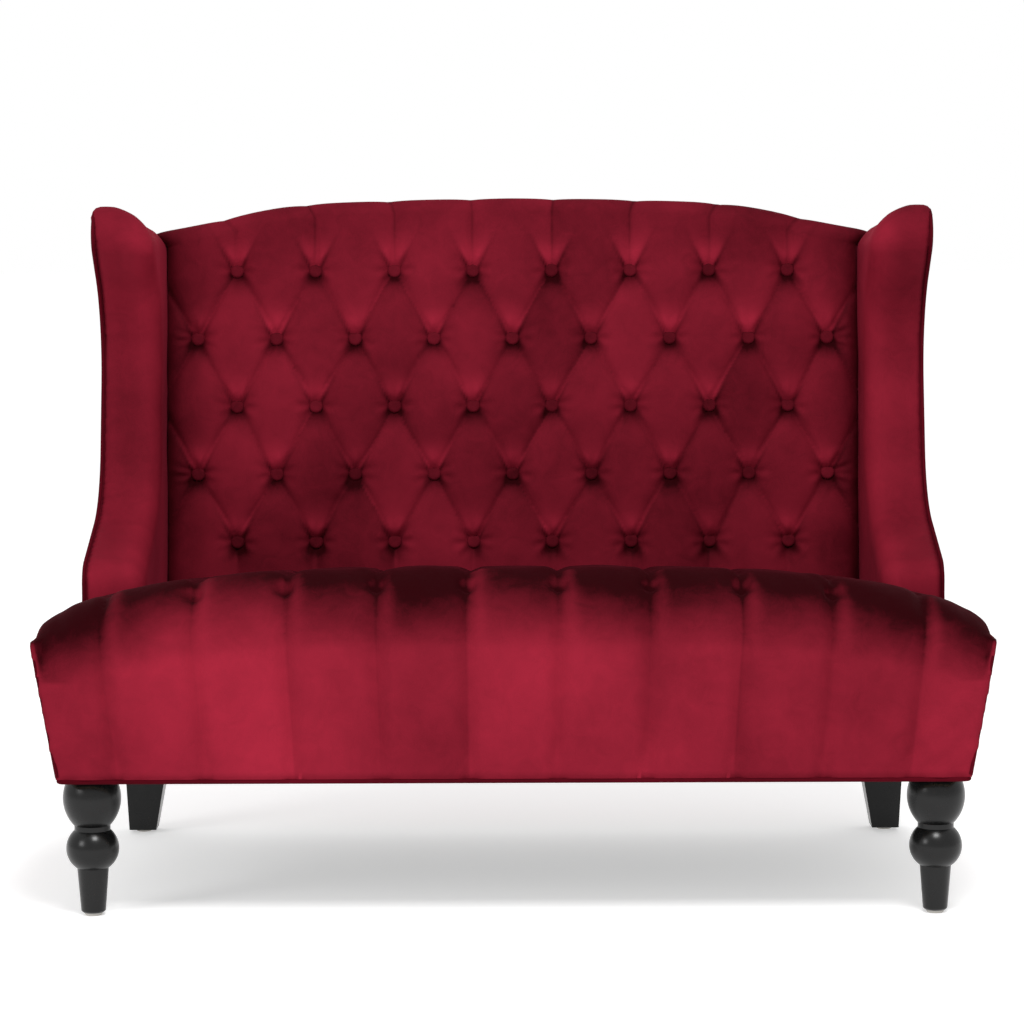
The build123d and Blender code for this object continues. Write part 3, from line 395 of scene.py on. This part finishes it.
def place_vertices(made, places):
    """Put the vertices where the array says, and smooth the faces."""
    made.data.vertices.foreach_set("co", np.asarray(places, dtype=float).ravel())
    made.data.update()
    bpy.ops.object.select_all(action="DESELECT")
    made.select_set(True)
    bpy.context.view_layer.objects.active = made
    bpy.ops.object.shade_smooth()


def write_painted_light(made, painted_light_and_tone):
    """Keep the painted light and shade, with any chance tone, on the piece itself."""
    attribute = made.data.attributes.new("painted_light_and_tone", "FLOAT", "POINT")
    attribute.data.foreach_set("value", np.asarray(painted_light_and_tone, dtype=float))


def stand_for(made, slot, *nodes, padding=None):
    """Finish a piece and let it stand for frame nodes. Padding, how full a soft one is, is not
    used.
    """
    made.data.materials.clear()
    made.data.materials.append(finishes[slot])
    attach(made, "root")
    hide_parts(*nodes)
    print(made.name, len(made.data.polygons), "faces")


# %% [markdown]
# The back cover is a flat grid that is laid onto this relief: most of its rows climb the face,
# the next ones roll over the arched top, and the last ones run to the outside back. The arch is
# flat in the middle, falls at its haunches and runs out level behind the wings. Solidify gives
# the sheet the thickness of cloth, behind the face that shows.

# %% Lay the back cover
ARCH_X = [0, 0.06, 0.16, 0.277, 0.331, 0.388, 0.449, 0.505]
ARCH_Z = [0.8995, 0.899, 0.897, 0.8925, 0.8845, 0.871, 0.857, 0.8495]
SOFTENING = (-0.03, -0.015, 0, 0.015, 0.03)
HALF_WIDTH = 0.4837
COVER_FOOT = 0.335
ROLL = 0.020
COVER_SPREAD = 0.050
EDGE_DROP = 0.014
TAIL_DEPTH = 0.006
CLOTH = 0.003
FACE_SHARE, ARC_SHARE = 0.86, 0.08


def arch_over(across):
    """Height of the arched top, softened at its bends."""
    heights = [np.interp(np.abs(across) + step, ARCH_X, ARCH_Z) for step in SOFTENING]
    return sum(heights) / len(SOFTENING)


back, u, w = grid("back_upholstery", 330, 236)
across = (2 * u - 1) * HALF_WIDTH
face = ramp(w, 0, FACE_SHARE)
arc = ramp(w, FACE_SHARE, FACE_SHARE + ARC_SHARE)
flat_top = ramp(w, FACE_SHARE + ARC_SHARE, 1)
low_rise = up(COVER_FOOT)
top_rise = up(arch_over(across)) + 0.001
rise = low_rise + face * (top_rise - ROLL - low_rise)
edge = ramp(np.abs(across), HALF_WIDTH - 0.03, HALF_WIDTH)
lift = relief_of_back(across, rise) - EDGE_DROP * edge ** 3
turn = arc * pi / 2
depth = CROWN_DEPTH - ROLL + (ROLL + lift) * np.cos(turn)
depth -= flat_top * (CROWN_DEPTH - ROLL - TAIL_DEPTH)
over = (ROLL + lift * 0.30) * np.sin(turn)
spread = COVER_SPREAD * ramp(face, 0.95, 1) * np.clip(arc + flat_top, 0, 1)
place_vertices(back, on_back(across * (1 + spread), rise + over, depth))
# The back's painted light and shade, with a chance tone for each diamond.
write_painted_light(back, painted_light_and_tone_of_back(across, rise))
thickness = back.modifiers.new("thickness", "SOLIDIFY")
thickness.thickness = CLOTH
thickness.offset = -1
bpy.ops.object.modifier_apply(modifier="thickness")
stand_for(back, "garnet_velvet", "back_cover", padding=0.6)

# %% [markdown]
# A covered button is a low dome with a flat middle. We reshape one sphere, tilt a copy of it with
# the back in each pit, and join the copies.

# %% Cover the buttons
BUTTON_DEPTH = 0.0965
BUTTON_SCALE = (0.0100, 0.0100, 0.0050)
# The buttons are the same velvet, painted a little darker: painted shade of the pits they sit in.
BUTTON_SHADE = -0.12
bpy.ops.mesh.primitive_uv_sphere_add(segments=24, ring_count=14, radius=1)
dome = bpy.context.object
for vertex in dome.data.vertices:
    out_from_middle = min(np.hypot(vertex.co.x, vertex.co.y), 1)
    flat_dome = (1 - out_from_middle ** 5) ** 0.4 * (0.9 + 0.1 * out_from_middle)
    vertex.co.z = np.sign(vertex.co.z) * flat_dome
bpy.ops.object.select_all(action="DESELECT")
for x, v in spots:
    (place,) = on_back(np.array([x]), np.array([v]), np.array([BUTTON_DEPTH]))
    one = bpy.data.objects.new("button", dome.data.copy())
    bpy.context.collection.objects.link(one)
    one.location = place
    one.rotation_euler = (pi / 2 - LEAN + chance.uniform(-0.12, 0.12), 0, 0)
    one.scale = BUTTON_SCALE
    one.select_set(True)
    bpy.context.view_layer.objects.active = one
bpy.data.objects.remove(dome)
bpy.ops.object.join()
domes = bpy.context.object
domes.name = "button_domes"
bpy.ops.object.transform_apply(location=True, rotation=True, scale=True)
bpy.ops.object.shade_smooth()
write_painted_light(domes, np.full(len(domes.data.vertices), BUTTON_SHADE))
stand_for(domes, "velvet_button", "back_buttons")

# %% [markdown]
# The seat and the wings start from copies of the frame's plain forms. A voxel remesh gives them
# even small faces, smoothing takes the hard edges away, and then they are swelled.


# %% A soft copy of a plain form
def soft_copy(name, sources, voxel, rounds):
    """An evenly meshed, softened copy of one or more frame nodes, melted together."""
    bpy.ops.object.select_all(action="DESELECT")
    for source in sources:
        copy = bpy.data.objects.new(name, frame["nodes"][source].data.copy())
        bpy.context.collection.objects.link(copy)
        copy.select_set(True)
        bpy.context.view_layer.objects.active = copy
    if len(sources) > 1:
        bpy.ops.object.join()
    copy = bpy.context.view_layer.objects.active
    copy.name = name
    melt = copy.modifiers.new("melt", "REMESH")
    melt.mode = "VOXEL"
    melt.voxel_size = voxel
    bpy.ops.object.modifier_apply(modifier="melt")
    soften = copy.modifiers.new("soften", "SMOOTH")
    soften.factor = 0.5
    soften.iterations = rounds
    bpy.ops.object.modifier_apply(modifier="soften")
    return copy


def arrays(made):
    """The vertices' places and normals."""
    count = len(made.data.vertices)
    places, normals = np.empty(count * 3), np.empty(count * 3)
    made.data.vertices.foreach_get("co", places)
    made.data.vertex_normals.foreach_get("vector", normals)
    return places.reshape(-1, 3), normals.reshape(-1, 3)


# %% [markdown]
# The seat is sewn into eleven channels that run from the back over the front to its foot, and
# its sides are boxed with flat panels. We melt cover, foam and sides together, because the
# cover alone is too thin to remesh. Only the parts that face up or forward are swelled.

# %% Melt the seat together
seat_sides = ("seat_side_panel_left", "seat_side_panel_right")
seat = soft_copy("seat_upholstery", ("seat_cover", "seat_foam", *seat_sides), 0.004, 5)
places, normals = arrays(seat)
x, y, z = places.T
front = np.clip(-normals[:, 1], 0, 1)
top = np.clip(normals[:, 2], 0, 1) * (z > 0.3)
showing = np.clip(np.clip(normals[:, 2] + 0.1, 0, 1) + front, 0, 1) * ramp(z, 0.195, 0.235)
print("seat", len(places), "vertices")

# %% [markdown]
# Each channel swells between its seams. A row of blind tufts pinches the seams where the seat
# rolls over, and a small fold runs back from each. A slight unevenness and a slant pull at the
# lower corners keep the velvet from looking pressed.

# %% Swell the channels
CHANNEL_PITCH = 0.111
CHANNEL_SWELL = 0.0045
SEAM_SINK = 0.0010
TUFTS = 8
TUFT_Y = -0.305
TUFT_SINK, TUFT_RADIUS = 0.0020, 0.016
TUFT_FOLD = 0.0045
CORNER_PULL = 0.0016
UNEVENNESS = 0.0006
out = showing * (CHANNEL_SWELL * swell(x / CHANNEL_PITCH + 0.5, 2.2) - SEAM_SINK)
for n in range(TUFTS):
    tuft_x = CHANNEL_PITCH * (n - (TUFTS - 1) / 2)
    out -= TUFT_SINK * showing * hill(np.hypot(x - tuft_x, y - TUFT_Y), TUFT_RADIUS)
    behind = np.clip(y - TUFT_Y, 0, None)
    fold = hill(x + 0.3 * behind, 0.25 * behind + 0.003, tuft_x)
    out += TUFT_FOLD * showing * fold * ramp(behind, 0, 0.012) * hill(behind, 0.045)
uneven = np.sin(x * 23 + y * 11) * np.sin(x * 57 - z * 31 + 2)
uneven += 0.6 * np.sin(x * 90 + z * 83 + y * 71)
out += UNEVENNESS * showing * uneven
corner = ramp(np.abs(x), 0.40, 0.59) * front * ramp(z, 0.30, 0.18)
out += CORNER_PULL * corner * np.sin((np.abs(x) * 0.8 - z) * 190)
print("channels swelled by", out.max())

# %% [markdown]
# Seen from the front, the top of the seat is painted dark and its front painted light, as light
# falls on them, and each channel was stroked its own way, which gives it its own tone. The seams
# get painted shade, with a painted highlight beside each on the roll.

# %% Painted light and shade of the seat
# A tone for each channel; the rest is painted light and shade.
CHANNEL_LIE = (0.02, 0.12, 0.16, -0.03, -0.10, 0.07, 0.03, 0.01, -0.16, -0.12, 0.0)
FRONT_PAINTED_LIGHT = 0.36
TOP_PAINTED_SHADE = -0.55
SEAM_STREAK_HIGHLIGHT = 0.3
CHANNEL_SEAM_SHADE = -0.10
number = np.clip(np.floor(x / CHANNEL_PITCH + 0.5).astype(int) + 5, 0, 10)
# Painted light on the front, painted shade on the top, and the tone of each channel.
painted_light_and_tone = FRONT_PAINTED_LIGHT * front ** 2 + TOP_PAINTED_SHADE * top ** 0.7 + 0.9 * np.array(CHANNEL_LIE)[number]
beside_seam = (x / CHANNEL_PITCH + 0.5) % 1
# A painted highlight beside each seam on the roll, then painted shade along the seams.
painted_light_and_tone += SEAM_STREAK_HIGHLIGHT * top * hill(beside_seam, 0.09, 0.12) * (y < -0.27)
from_seam = np.abs((x / CHANNEL_PITCH) % 1 - 0.5) * CHANNEL_PITCH
painted_light_and_tone += CHANNEL_SEAM_SHADE * showing * hill(from_seam, 0.0030) * (np.abs(x) < 0.52)
write_painted_light(seat, painted_light_and_tone)

# %% [markdown]
# The seams lean outward from the foot up, so the front of the seat is spread a little by its
# height. The foot is held where the piping takes it. Inside, a simpler copy of the foam stays
# clear of the cover.

# %% Settle the seat
FLARE = 0.020
SIDE_X = 0.565
FOOT_FRONT = -0.3530
FOOT_BOTTOM = 0.1796
CORE_GAP = 0.004
settled = places + normals * out[:, None]
flare = FLARE * np.clip((z - 0.27) / 0.09, -1, 1) * ramp(y, -0.20, -0.25)
settled[:, 0] += x * flare * ramp(np.abs(x), SIDE_X, SIDE_X - 0.06)
foot = (z < 0.205) & (y < -0.345) & (normals[:, 1] < -0.6)
settled[:, 1] = np.where(foot, np.minimum(settled[:, 1], FOOT_FRONT), settled[:, 1])
settled[:, 2] = np.where(z < 0.187, FOOT_BOTTOM, settled[:, 2])
place_vertices(seat, settled)
stand_for(seat, "garnet_velvet", "seat_cover", *seat_sides, padding=0.7)
seat_core = soft_copy("seat_core", ["seat_foam"], 0.012, 2)
places, normals = arrays(seat_core)
place_vertices(seat_core, places - normals * CORE_GAP)
stand_for(seat_core, "foam", "seat_foam", padding=0.7)

# %% [markdown]
# Each wing is one thick pad. Its head is not flat: it drops in a round curve towards the sitter,
# so we lower the upper vertices by how near they are to the inner face. The foam's copy is first
# filled out by the thickness of its cover, except where it lies against the board.

# %% Shape the wings
HEAD_START, HEAD_TOP = 0.74, 0.887
HEAD_DROP = 0.027
COVER_PADDING = 0.0050
BOARD_X = 0.5585
CROWN_HEIGHT = 0.007
CROWN_WIDTH = 0.0075


def drop_head(places):
    """Lower the front of a wing's head where it is near its inner face."""
    x, y, z = places.T
    inner = ramp(np.abs(x), 0.542, 0.484) * (0.45 + 0.55 * ramp(y, 0.205, 0.145))
    places[:, 2] = z - HEAD_DROP * inner ** 1.6 * ramp(z, HEAD_START, HEAD_TOP) ** 1.6
    return places


def fill_wing(wing):
    """Fill a wing's pad out, give its head a crown, and write its painted light and shade."""
    places, normals = arrays(wing)
    inward = np.abs(places[:, 0]) < BOARD_X
    places = drop_head(places + normals * (COVER_PADDING * inward)[:, None])
    x, y, z = places.T
    crown = ramp(z, 0.845, 0.880) * ramp(y, 0.20, 0.10)
    places[:, 2] += CROWN_HEIGHT * crown
    places[:, 0] += np.sign(x) * CROWN_WIDTH * crown * (np.abs(x) > 0.54) * ramp(z, 0.895, 0.875)
    uneven = np.sin(z * 23 + y * 14 + x * 25) + 0.5 * np.sin(z * 61 - y * 47)
    place_vertices(wing, places + normals * (UNEVENNESS * uneven * inward)[:, None])
    # Painted highlights along the inner edge, on the inner head and on the front of the foot, and
    # painted shade deep on the inner face by the back.
    stripe = hill(np.abs(x), 0.024, 0.488)
    head = hill(z, 0.10, 0.78) * ramp(np.abs(x), 0.53, 0.48)
    foot = hill(z, 0.05, 0.40) * np.clip(-normals[:, 1], 0, 1)
    within = ramp(y, 0.15, 0.27) * (np.abs(x) < 0.492)
    write_painted_light(wing, 0.12 + 0.20 * stripe + 0.20 * head + 0.25 * foot - 0.50 * within)


for side in ("left", "right"):
    wing = soft_copy("wing_upholstery_" + side, ["wing_foam_" + side], 0.005, 6)
    fill_wing(wing)
    stand_for(wing, "garnet_velvet", "wing_cover_" + side, padding=0.6)
    core = soft_copy("wing_core_" + side, ["wing_foam_" + side], 0.012, 2)
    places, normals = arrays(core)
    place_vertices(core, drop_head(places))
    stand_for(core, "foam", "wing_foam_" + side, padding=0.6)

# %% [markdown]
# The flat panels outside keep the frame's own form, with some edges moved. A frame node's mesh is
# loose triangles, so a copy of it is merged before it is shaped and smoothed.


# %% A copy of a panel
def own_copy(name, source):
    """A copy of one frame node with its triangles merged, and its vertices' places."""
    bpy.ops.object.select_all(action="DESELECT")
    copy = bpy.data.objects.new(name, frame["nodes"][source].data.copy())
    bpy.context.collection.objects.link(copy)
    copy.select_set(True)
    bpy.context.view_layer.objects.active = copy
    bpy.ops.object.mode_set(mode="EDIT")
    bpy.ops.mesh.select_all(action="SELECT")
    bpy.ops.mesh.remove_doubles(threshold=0.000005)
    bpy.ops.object.mode_set(mode="OBJECT")
    places, _ = arrays(copy)
    return copy, places


def dress(made, source, places):
    """Reshape such a copy, keep its edges crisp and let it stand for its node."""
    place_vertices(made, places)
    bpy.ops.object.shade_smooth_by_angle(angle=radians(30))
    stand_for(made, slots[source], source)


# %% [markdown]
# The velvet outside the back is pulled over the board at its edges. At its foot it reaches a
# little lower, over the rear rail. At its top it turns forward under the back cover and onto the
# rear ends of the wings, so that no wood shows from above.

# %% Cover the outside back
FOOT_REACH = 0.0070
LIP_REACH = 0.0320
LIP_CLIMB = 0.0045
LIP_INSET = 0.0025
UNDER_COVER = 0.0135
rear, places = own_copy("outside_back_velvet", "outside_back_panel")
x, y, z = places.T.copy()
depth = FOOT_Y + (z - FRAME_BOTTOM) * tan(LEAN) - y
top = z > 0.83
lip = top & (depth > 0.003)
climb = top * np.clip(arch_over(np.abs(x) / (1 + COVER_SPREAD)) - UNDER_COVER - z, 0, None)
places[:, 0] -= LIP_INSET * np.sign(x) * (lip & (np.abs(x) > 0.56))
places[:, 1] += climb * tan(LEAN) - LIP_REACH * lip
places[:, 2] += climb + LIP_CLIMB * lip - FOOT_REACH * (z < 0.19)
dress(rear, "outside_back_panel", places)

# %% [markdown]
# The piping along the foot of the body runs on to the outside back, over the end of the rail.

# %% Run the piping to the back
PIPING_REACH = 0.0285
foot_piping, places = own_copy("foot_piping", "seat_base_welt")
places[:, 1] += PIPING_REACH * (places[:, 1] > 0.24)
dress(foot_piping, "seat_base_welt", places)

# %% [markdown]
# Outside the wings, the velvet reaches forward to the side of the seat at its foot.

# %% Close the sides
SIDE_REACH = 0.0300
for side in ("left", "right"):
    outer, places = own_copy("wing_outside_velvet_" + side, "wing_outside_panel_" + side)
    places[:, 1] -= SIDE_REACH * ((places[:, 1] < -0.08) & (places[:, 2] < 0.30))
    dress(outer, "wing_outside_panel_" + side, places)

# %% [markdown]
# A pale floor takes the shadow under the seat. It glows faintly, so that it stays nearly white
# in the corners of the picture.

# %% Lay the floor
bpy.ops.mesh.primitive_plane_add(size=120, location=(0, 0, 0))
floor = bpy.context.object
floor.name = "floor"
pale = plain("pale floor", (0.84, 0.84, 0.84), (0.86, 0.86, 0.86), 0.9, 2)
glow = {"Emission Color": (1, 1, 1, 1), "Emission Strength": 0.42}
fill(pale.node_tree.nodes["Principled BSDF"], glow)
floor.data.materials.append(pale)
print("floor", floor.dimensions[:])

# %% [markdown]
# The light is a broad soft one from above and in front, with a weaker one from the left, and an
# even white sky fills in the rest. What the camera sees of the sky is brighter than what it
# lights with, and what glossy legs mirror is between the two.


# %% Light the room
def soft_light(name, place, target, size, power):
    bpy.ops.object.light_add(type="AREA", location=place)
    lamp = bpy.context.object
    lamp.name = name
    lamp.data.size = size
    lamp.data.energy = power
    towards = Vector(target) - Vector(place)
    lamp.rotation_euler = towards.to_track_quat("-Z", "Y").to_euler()


soft_light("key", (0.4, -2.4, 3.6), (0, 0, 0.45), 1.2, 105)
soft_light("fill", (-3.0, -2.6, 1.8), (0, 0, 0.4), 1.2, 32)
world = bpy.data.worlds.new("white room")
bpy.context.scene.world = world
world.use_nodes = True
tree = world.node_tree
seen = node(tree, "ShaderNodeLightPath", {}, out=0)
mirrored = node(tree, "ShaderNodeLightPath", {}, out=3)
strength = seen.math("MAXIMUM", seen, mirrored * 0.7) * 0.30 + 0.70
fill(tree.nodes["Background"], {0: (1, 1, 1, 1), 1: strength})
